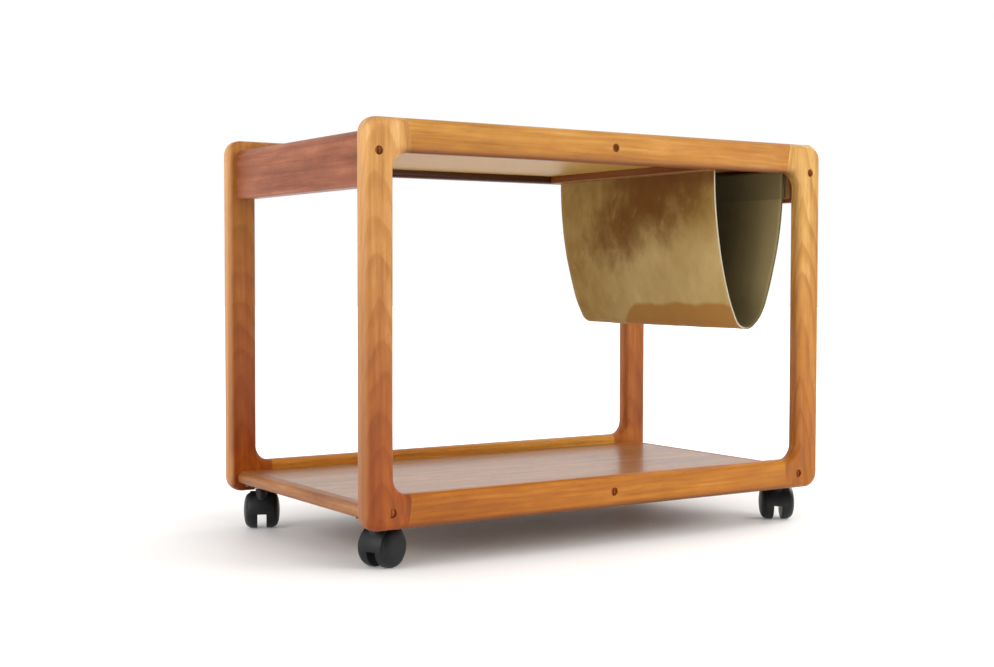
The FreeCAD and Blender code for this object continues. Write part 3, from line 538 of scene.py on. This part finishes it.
MARKS = {"back_top_rail": shaded_back, "back_bottom_rail": lit_inside}
RING_CONTRAST = {"X": 0.08, "Z": 0.16}
BOLD_RINGS = {"front_right_post": 0.22}
MEMBERS = {
    "front_left_post": ("Z", 3, 0.15, (0.98, 1.02, 1.0)),
    "front_right_post": ("Z", 8, 0.11, (1.09, 1.37, 1.22)),
    "front_top_rail": ("X", 5, 0.012, (0.80, 0.73, 0.42)),
    "front_bottom_rail": ("X", 12, -0.008, (1.25, 1.78, 1.62)),
    "back_left_post": ("Z", 20, 0.15, (1.07, 1.04, 0.74)),
    "back_right_post": ("Z", 25, 0.11, (1.2, 1.28, 1.0)),
    "back_top_rail": ("X", 22, 0.012, (0.86, 0.84, 0.6)),
    # The low back rail's large tint paints light on its inner side; lit_inside takes it back on the outer
    # side.
    "back_bottom_rail": ("X", 29, -0.008, (1.62, 2.85, 5.0)),
}
for node, (along, seed, tilt, tint) in MEMBERS.items():
    contrast = BOLD_RINGS.get(node, RING_CONTRAST[along])
    mark = MARKS.get(node, frame_marks)
    teak(
        node, along, seed, tint=tint, rings=150, tilt=tilt, contrast=contrast, level=0.24, coat=0.06,
        mark=mark,
    )
print("members dressed:", len(MEMBERS))

# %% [markdown]
# ## End rails, top and shelf
# The boards have marks of their own. A fine dark seam shows where the lippings of the shelf meet its
# veneer. The underside of the top was left pale, as undersides are, so its finish changes with height; a
# second finish on the lower face would do too, but the height gives a soft edge. Its left part also gets
# painted shade. The battens that hold the sling are paler along their lower edge.

# %% Marks on the boards
SHELF_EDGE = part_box("shelf_panel")[1].x
TOP_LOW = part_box("top_panel")[0].z
BATTEN_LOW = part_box("sling_left_batten")[0].z
SEAM_DARK = (0.06, 0.022, 0.010, 1)
RAW_VENEER_PAINTED_LIGHT = ((0.43, 0.232, 0.054, 1), (0.51, 0.310, 0.072, 1))
PALE_ARRIS_WOOD = (0.36, 0.190, 0.070, 1)
LACQUER = 0.3


def shelf_seam(finish, axes, colour):
    """Draws the dark seam between the shelf's veneer and its lippings."""
    seam = abs(abs(axes["X"]) - SHELF_EDGE).between(0.0010, 0.0003)
    return finish.mix(seam * 0.6, colour, SEAM_DARK)


def pale_underside(finish, axes, colour):
    """Leaves the lower face of the top in pale raw veneer, without lacquer, with painted light: darker at
    the left, lighter at the right.
    """
    under = axes["Z"].between(TOP_LOW + 0.003, TOP_LOW + 0.001)
    finish.set(coat_weight=(1 - under) * LACQUER)
    # Painted light on the raw underside: darker at the left, lighter at the right.
    raw = finish.mix(axes["X"].between(-0.25, 0.2), *RAW_VENEER_PAINTED_LIGHT)
    return finish.mix(under * 0.85, colour, raw)


def pale_lower_arris(finish, axes, colour):
    """Pales the lower edge of a batten."""
    worn = axes["Z"].between(BATTEN_LOW + 0.0022, BATTEN_LOW + 0.0012)
    return finish.mix(worn * 0.55, colour, PALE_ARRIS_WOOD)


print("the shelf's veneer ends at", round(SHELF_EDGE, 4), "and the top starts at", round(TOP_LOW, 4), "m")

# %% [markdown]
# The end rails and the lippings of the shelf are a redder teak. The top and the shelf are veneered boards
# with a satin lacquer, calmer in grain, and the battens are dark. What a pair of pieces shares is written
# once, so that the two differ in their seeds alone, or in their seeds and tints.

# %% Boards
RED_TEAK = [
    (0.0, (0.16, 0.040, 0.014)),
    (0.4, (0.25, 0.070, 0.027)),
    (0.7, (0.31, 0.095, 0.040)),
    (1.0, (0.40, 0.140, 0.065)),
]
VENEER = [
    (0.0, (0.19, 0.066, 0.018)),
    (0.4, (0.27, 0.102, 0.030)),
    (0.7, (0.33, 0.135, 0.043)),
    (1.0, (0.41, 0.185, 0.068)),
]
MATT = dict(gloss=0.42, coat=0.0)
END_RAIL = dict(tint=(0.84, 0.86, 0.92), contrast=0.06, lively=1.8, tilt=0.01, level=0.2, **MATT)
LIPPING = dict(tint=(1.12, 1.5, 1.2), contrast=0.08, lively=1.5, level=0.25, mark=shelf_seam, **MATT)
BOARD = dict(tint=(0.83, 0.84, 0.65), rings=70, lively=1.6)
BATTEN = dict(gloss=0.5, level=0.15, coat=0.0, mark=pale_lower_arris)
for side, rail_seed in (("left", 21), ("right", 27)):
    teak(f"{side}_end_rail", "Y", rail_seed, RED_TEAK, **END_RAIL)
for side, lipping_seed in (("left", 31), ("right", 37)):
    teak(f"shelf_{side}_lipping", "Y", lipping_seed, RED_TEAK, **LIPPING)
teak("shelf_panel", "X", 41, VENEER, **BOARD, gloss=0.33, coat=0.28, mark=shelf_seam)
teak("top_panel", "X", 47, VENEER, **BOARD, gloss=0.44, level=0.12, coat=0.0, mark=pale_underside)
for side, batten_seed, tint in (("left", 51, (0.5, 0.5, 0.4)), ("right", 53, (0.3, 0.3, 0.3))):
    teak(f"sling_{side}_batten", "Y", batten_seed, tint=tint, **BATTEN)
for place, along, dowel_seed in (("front_frame", "X", 61), ("back_frame", "X", 63), ("end_rail", "Y", 67)):
    teak(f"{place}_dowels", along, dowel_seed, VENEER, gloss=0.6)
print("rails, lippings, boards, battens and dowels dressed")

# %% [markdown]
# ## Metal and plastic
# The screws are darkened brass, the stems and axles are zinc-plated steel, the sockets are blackened, and
# the casters are black moulded plastic with a slight sheen. Metal is a Metallic of 1 with a tint and uneven
# roughness. Plastic is a nearly black colour whose fine moulding texture breaks up the highlight.


# %% Hardware finishes
def metal(name, tint, shade, gloss):
    """Plated or darkened metal with cloudy wear."""
    finish = Finish(name, metallic=1.0)
    x, y, z = finish.place()
    cloud = finish.noise(x * 260, y * 260, z * 260, detail=3)
    finish.set(base_color=finish.ramp(cloud, [(0.3, shade), (0.7, tint)]), roughness=cloud * 0.3 + gloss)
    finish.bump(finish.noise(x * 2400, y * 2400, z * 2400), 0.00003)
    return finish


def moulded(name, tint, shade, gloss):
    """Moulded plastic with a fine satin texture."""
    finish = Finish(name, specular_ior_level=0.3)
    x, y, z = finish.place()
    cloud = finish.noise(x * 90, y * 90, z * 90, detail=3)
    finish.set(base_color=finish.ramp(cloud, [(0.3, shade), (0.7, tint)]), roughness=cloud * 0.18 + gloss)
    finish.bump(finish.noise(x * 2600, y * 2600, z * 2600, detail=1), 0.00004)
    return finish


brass = metal("dark_brass", (0.50, 0.160, 0.058), (0.24, 0.070, 0.026), 0.30)
steel = metal("zinc_steel", (0.55, 0.55, 0.53), (0.38, 0.38, 0.37), 0.24)
blackened = metal("blackened_steel", (0.055, 0.052, 0.050), (0.025, 0.024, 0.023), 0.32)
black = moulded("caster_black", (0.010, 0.011, 0.012), (0.005, 0.006, 0.006), 0.36)
CORNERS = ("front_left", "front_right", "back_left", "back_right")
for node in ("front_frame_screws", "back_frame_screws"):
    wear(node, brass)
for node in ("caster_plate_screws", "sling_batten_screws"):
    wear(node, steel)
CASTER_FINISHES = {
    "socket": blackened,
    "stem": steel,
    "axle": steel,
    "hood": black,
    "left_wheel": black,
    "right_wheel": black,
}
for corner in CORNERS:
    for piece, finish in CASTER_FINISHES.items():
        wear(f"{corner}_caster_{piece}", finish)
print("hardware dressed, casters:", len(CORNERS))

# %% [markdown]
# ## The sling, as a sheet
# The sling is one piece of thick suede, 348 mm wide. It hangs from a batten under the top, turns round at
# the bottom and rises to a batten on the right end rail, where its end is folded back as a hem. A cloth
# simulation could drop such a sheet, but stiff leather takes smooth bends that can be followed in the
# photograph, so the sheet is walked out instead: a row of points is pushed down, swung round one arc after
# another, and pushed up again. Two tools do that, one for straights and one for arcs.

# %% Tools for the walk
WIDTH = 0.348
START_X, START_Z = 0.18475, 0.4902
CUTS_ACROSS = 57
SAME_PLACE = 1e-7

sheet = bmesh.new()
corner_low = sheet.verts.new((START_X, -WIDTH / 2, START_Z))
corner_high = sheet.verts.new((START_X, WIDTH / 2, START_Z))
bmesh.ops.subdivide_edges(sheet, edges=[sheet.edges.new((corner_low, corner_high))], cuts=CUTS_ACROSS)
row = list(sheet.edges)
heading = Vector((0, 0, -1))
walked = 0.0


def runs_across(item):
    """Tells whether a new item is an edge of the sheet's last row."""
    if not isinstance(item, bmesh.types.BMEdge):
        return False
    first, second = (vert.co for vert in item.verts)
    return abs(first.x - second.x) + abs(first.z - second.z) < SAME_PLACE


def straight(length, steps):
    """Pushes the last row of the sheet forwards."""
    global row, walked
    for step in range(steps):
        row = [item for item in bmesh.ops.extrude_edge_only(sheet, edges=row)["geom"] if runs_across(item)]
        verts = list({vert for edge in row for vert in edge.verts})
        bmesh.ops.translate(sheet, verts=verts, vec=heading * (length / steps))
    walked += length


def swing(radius, degrees, steps):
    """Swings the last row round an arc, to the left of the heading; negative degrees go to the right."""
    global row, walked, heading
    angle = math.radians(degrees)
    left = Vector((-heading.z, 0, heading.x)) * (1 if degrees > 0 else -1)
    centre = row[0].verts[0].co + left * radius
    centre.y = 0
    verts = list({vert for edge in row for vert in edge.verts})
    new = bmesh.ops.spin(sheet, geom=verts + row, cent=centre, axis=(0, -1, 0), angle=angle, steps=steps)
    row = [item for item in new["geom_last"] if isinstance(item, bmesh.types.BMEdge)]
    heading = Matrix.Rotation(angle, 4, (0, -1, 0)).to_3x3() @ heading
    walked += radius * abs(angle)


print("the sheet starts as a row of", len(row), "edges")

# %% [markdown]
# The walk goes from the left batten down the left wall, round the bottom and up the right wall. At the
# right batten a tight turn and a short straight make the hem. A straight is a length and a number of steps;
# an arc is a radius, an angle in degrees and a number of steps.

# %% Walk out the sheet
straight(0.0107, 2)
swing(0.530, 18.6, 30)
swing(0.170, 11.3, 7)
swing(0.020, 95.6, 14)
swing(0.059, 33.4, 8)
swing(0.487, 21.1, 32)
straight(0.0060, 1)
hem_top = walked
swing(0.0021, -183.4, 10)
straight(0.0350, 6)
print("sheet walked out:", round(walked, 4), "m long, its hem", round(walked - hem_top, 4), "m")
print("it ends at", [round(v, 4) for v in row[0].verts[0].co])

# %% [markdown]
# Suede is never quite true. The walls bulge by a millimetre here and there, most in the middle, where
# nothing holds them. Noise along the normals does that. The two ends are held by their battens, so they
# stay where they are.

# %% Loosen the sheet
MERGE = 1e-6
HELD_ABOVE, FREE_OVER = 0.440, 0.080
BROAD_BULGE, FINE_BULGE = 0.0011, 0.00035
BROAD_SPOT, FINE_SPOT = Vector((3.1, 7.7, 1.9)), Vector((9.4, 2.2, 5.3))

bmesh.ops.remove_doubles(sheet, verts=sheet.verts, dist=MERGE)
bmesh.ops.recalc_face_normals(sheet, faces=sheet.faces)
if min(sheet.faces, key=lambda face: face.calc_center_median().z).normal.z > 0:
    bmesh.ops.reverse_faces(sheet, faces=sheet.faces)
sheet.normal_update()
for vert in sheet.verts:
    free = min(1.0, max(0.0, (HELD_ABOVE - vert.co.z) / FREE_OVER))
    broad = noise.noise(vert.co * 14 + BROAD_SPOT)
    fine = noise.noise(vert.co * 45 + FINE_SPOT)
    vert.co += vert.normal * free * (BROAD_BULGE * broad + FINE_BULGE * fine)
sling = into_scene("suede_sling", sheet)
lowest = min(sling.data.polygons, key=lambda face: face.center.z)
print("sling faces:", len(sling.data.polygons))
print("its lowest face looks along", [round(v, 2) for v in lowest.normal])

# %% [markdown]
# ## Suede
# The outer side is tan suede, brushed and stained with use: light and dark clouds, a dark patch where hands
# reach in, and an orange band along the bottom where the nap is worn. Stains are masks: a distance from a
# spot, or a height, is roughened with noise, and the mask blends the stain's colour over the hide.


# %% Suede, outside
def nap(finish, x, y, z):
    """Short brushed fibres, as bump and roughness."""
    fibre = finish.noise(x * 900, y * 900, z * 700, detail=3, roughness=0.7)
    brushed = finish.noise(x * 60, y * 60, z * 40, detail=4, roughness=0.6)
    finish.set(roughness=fibre * 0.12 + 0.82)
    finish.bump(fibre * 0.7 + brushed * 1.2, 0.00035)
    return fibre, brushed


TAN = [
    (0.0, (0.14, 0.068, 0.012)),
    (0.35, (0.265, 0.160, 0.042)),
    (0.7, (0.395, 0.280, 0.108)),
    (1.0, (0.51, 0.38, 0.175)),
]
STAIN, TOP_DARK = (0.120, 0.040, 0.002, 1), (0.125, 0.040, 0.005, 1)
SCUFFED, WORN_ORANGE = (0.45, 0.33, 0.150, 1), (0.300, 0.132, 0.020, 1)
SHEEN_TAN = (0.85, 0.65, 0.4, 1)

outside = Finish(
    "suede_outside", specular_ior_level=0.12, sheen_weight=0.12, sheen_roughness=0.5, sheen_tint=SHEEN_TAN
)
x, y, z = outside.place()
fibre, brushed = nap(outside, x, y, z)
broad = outside.noise(x * 9, y * 9, z * 9, detail=3)
blotch = outside.noise(x * 28, y * 34, z * 24, detail=5, roughness=0.62)
faded = z.between(0.435, 0.365) * y.between(0.15, 0.02) * 0.36
tone = blotch * 0.45 + broad * 0.25 + brushed * 0.2 + fibre * 0.12 + faded - 0.13
spot_y = (y + 0.032) * 8.2
spot_z = (z - 0.437 + y * 0.35) * 19
spot = (spot_y * spot_y + spot_z * spot_z) ** 0.5
patch = (spot + (broad - 0.5) * 1.8 + (blotch - 0.5) * 1.6).between(1.6, 0.1)
scuff = outside.noise(x * 30, y * 55 + z * 38, z * 30 - y * 12, detail=5, roughness=0.7).between(0.55, 0.75)
# Darker along the top, towards the front.
darker_top = (z + (broad - 0.5) * 0.03).between(0.448, 0.474) * y.between(0.12, -0.02)
ragged = (outside.noise(x * 20, y * 26, z * 20, detail=3) - 0.5) * 0.016
band = (z + ragged + y.between(0.02, 0.11) * 0.05).between(0.3055, 0.2985)
hide = outside.ramp(tone, TAN)
hide = outside.mix(patch * 0.9, hide, STAIN)
hide = outside.mix(scuff * 0.35, hide, SCUFFED)
hide = outside.mix(darker_top * 0.7, hide, TOP_DARK)
outside.set(base_color=outside.mix(band * 0.85, hide, WORN_ORANGE))
print("outside of the hide has", len(TAN), "shades and four kinds of wear")

# %% [markdown]
# The inner side is the darker, olive flesh side, painted paler towards the front opening, where light comes
# in, and the cut edge of the hide is pale. The Solidify modifier that gives the sheet its thickness also
# hands
# the finishes out: one for the outside, one for the inside and one for the rim.

# %% Suede, inside and cut edge
OLIVE = [(0.25, (0.060, 0.046, 0.015)), (0.75, (0.115, 0.090, 0.035))]
PAINTED_LIGHT_OLIVE, PAINTED_HEM_SHADE = (0.30, 0.235, 0.105, 1), (0.06, 0.05, 0.026, 1)
CUT_PALE = [(0.3, (0.30, 0.25, 0.17)), (0.7, (0.42, 0.37, 0.28))]
CUT_SHADED = (0.085, 0.068, 0.030, 1)
THICKNESS = 0.0025

inside = Finish("suede_inside", specular_ior_level=0.12, sheen_weight=0.08, sheen_roughness=0.5)
x, y, z = inside.place()
fibre, brushed = nap(inside, x, y, z)
blotch = inside.noise(x * 22, y * 22, z * 22, detail=4, roughness=0.6)
# Painted light: paler towards the front opening, where light comes in, and less so down at the bottom.
lit_front = y.between(-0.05, -0.165) * z.between(0.245, 0.345)
# Painted shade: a faint dark line where the hem ends.
hem_end_shade = z.between(0.4452, 0.4462) * x.between(0.295, 0.300)
flesh = inside.ramp(blotch * 0.7 + brushed * 0.3, OLIVE)
flesh = inside.mix(lit_front * 0.85, flesh, PAINTED_LIGHT_OLIVE)
inside.set(base_color=inside.mix(hem_end_shade * 0.35, flesh, PAINTED_HEM_SHADE))

rim = Finish("suede_cut_edge", specular_ior_level=0.25)
x, y, z = rim.place()
fibre, brushed = nap(rim, x, y, z)
rim.set(base_color=rim.mix(x.between(0.235, 0.255), rim.ramp(fibre, CUT_PALE), CUT_SHADED))

for finish in (outside, inside, rim):
    sling.data.materials.append(finish.material)
thickness = sling.modifiers.new("hide", "SOLIDIFY")
thickness.thickness = THICKNESS
thickness.offset = 0
thickness.use_even_offset = True
thickness.material_offset = 1
thickness.material_offset_rim = 2
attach(sling, "table")
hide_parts("magazine_sling")
print("sling dressed with", len(sling.data.materials), "finishes")

# %% [markdown]
# ## Stitches
# A seam runs across the right wall just above the hem's end. On the real sling each stitch is a short piece
# of waxed thread that dips into the hide at both ends. One stitch is a small stretched ball, flattened on
# the hide, and it is repeated along the seam.

# %% Stitches
STITCH_STEP = 0.0055
STITCH_SIZE = (0.00035, 0.0019, 0.00045, 1)
SEAM_X, SEAM_Z = 0.30715, 0.4500
SEAM_MARGINS = 0.012
THREAD = [(0.3, (0.10, 0.075, 0.035)), (0.7, (0.20, 0.155, 0.08))]

seam = bmesh.new()
count = int((WIDTH - SEAM_MARGINS) / STITCH_STEP)
for number in range(count):
    along = (number - (count - 1) / 2) * STITCH_STEP
    place = Matrix.Translation((SEAM_X, along, SEAM_Z)) @ Matrix.Diagonal(STITCH_SIZE)
    bmesh.ops.create_icosphere(seam, subdivisions=2, radius=1, matrix=place)
stitches = into_scene("sling_stitches", seam)
thread = Finish("waxed_thread", specular_ior_level=0.4)
x, y, z = thread.place()
twist = thread.noise(x * 300, y * 2600 + z * 2600, z * 300, detail=1)
thread.set(base_color=thread.ramp(twist, THREAD), roughness=twist * 0.2 + 0.5)
thread.bump(twist, 0.0001)
stitches.data.materials.append(thread.material)
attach(stitches, "table")
print("stitches:", count)

# %% [markdown]
# ## Caster hoods
# A hood is a thin moulding, and mouldings have no sharp edges: the mould itself is rounded, and the small
# radius is what catches the light. The solid has the form but crisp edges, so each hood is copied, its
# loose triangles are merged, and the crisp edges are bevelled.

# %% Hoods with rounded edges
FLAT_WITHIN, CRISP_FROM, SHARP_FROM = math.radians(0.5), math.radians(35), math.radians(40)
HOOD_ROUNDING = 0.0005


def moulding(name, shape):
    """Turns a finished shape into a piece of black plastic, smooth but for its sharp edges."""
    piece = into_scene(name, shape)
    piece.data.set_sharp_from_angle(angle=SHARP_FROM)
    piece.data.materials.append(black.material)
    return piece


def rounded_hood(corner):
    """A copy of a hood's solid with its crisp edges rounded."""
    node = f"{corner}_caster_hood"
    shell = bmesh.new()
    shell.from_mesh(frame["nodes"][node].data)
    bmesh.ops.remove_doubles(shell, verts=shell.verts, dist=MERGE)
    bmesh.ops.dissolve_limit(shell, angle_limit=FLAT_WITHIN, verts=shell.verts, edges=shell.edges)
    crisp = [edge for edge in shell.edges if edge.is_manifold and edge.calc_face_angle() > CRISP_FROM]
    rounded = len(crisp)
    bmesh.ops.bevel(
        shell, geom=crisp, offset=HOOD_ROUNDING, segments=2, profile=0.5, affect="EDGES", material=-1,
        clamp_overlap=True,
    )
    hood = moulding(f"{corner}_rounded_hood", shell)
    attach(hood, f"{corner}_caster")
    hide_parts(node)
    return rounded


print("edges rounded on each hood:", [rounded_hood(corner) for corner in CORNERS])

# %% [markdown]
# ## Caster wheels
# The solid wheels are plain domes. A moulded wheel has a broad tread, a round shoulder and a nearly flat
# cheek. It is turned here as on a lathe: half its section is a wire of a few points, the corners of the
# wire are rounded by bevelling its points, and the wire is spun once round the axle. The bore for the axle
# is part of the wire.

# %% Turn the wheels
MM = 1000
WHEEL_GAP = 0.012
# Each point of the section: its distance from the inner face and from the axle, in millimetres.
SECTION = [(14, 0), (14, 2.55), (0, 2.55), (0, 24), (11, 24), (16, 18.5), (17.6, 9.5), (18, 3), (18, 0)]
# The points that are rounded, and by how many millimetres.
ROUNDING = {3: 1.0, 4: 4.5, 5: 5.0, 6: 4.0}
TURNS = 72


def turned_wheel(corner, side, way):
    """A wheel on its axle, on the side of the caster that the way along the axle gives."""
    body = f"{corner}_{side}_wheel"
    hinge = next(joint for joint in frame["joints"] if joint["child"] == body)
    middle = Vector(hinge["pos_m"])
    outwards = Vector(hinge["axis"]).normalized() * way
    wheel = bmesh.new()
    wire = []
    for far, high in SECTION:
        spot = middle + outwards * (WHEEL_GAP / 2 + far / MM) + Vector((0, 0, high / MM))
        wire.append(wheel.verts.new(spot))
    for start, end in zip(wire, wire[1:]):
        wheel.edges.new((start, end))
    for number, reach in ROUNDING.items():
        bmesh.ops.bevel(
            wheel, geom=[wire[number]], offset=reach / MM, segments=6, profile=0.5, affect="VERTICES",
            material=-1,
        )
    section = wheel.verts[:] + wheel.edges[:]
    bmesh.ops.spin(
        wheel, geom=section, cent=middle, axis=outwards, angle=math.tau, steps=TURNS, use_merge=True
    )
    bmesh.ops.remove_doubles(wheel, verts=wheel.verts, dist=MERGE)
    bmesh.ops.recalc_face_normals(wheel, faces=wheel.faces)
    piece = moulding(f"{body}_turned", wheel)
    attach(piece, body)
    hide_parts(f"{corner}_caster_{side}_wheel")
    return len(piece.data.polygons)


SIDES = {"left": 1, "right": -1}
for corner in CORNERS:
    print(corner, "wheels, faces:", [turned_wheel(corner, side, way) for side, way in SIDES.items()])
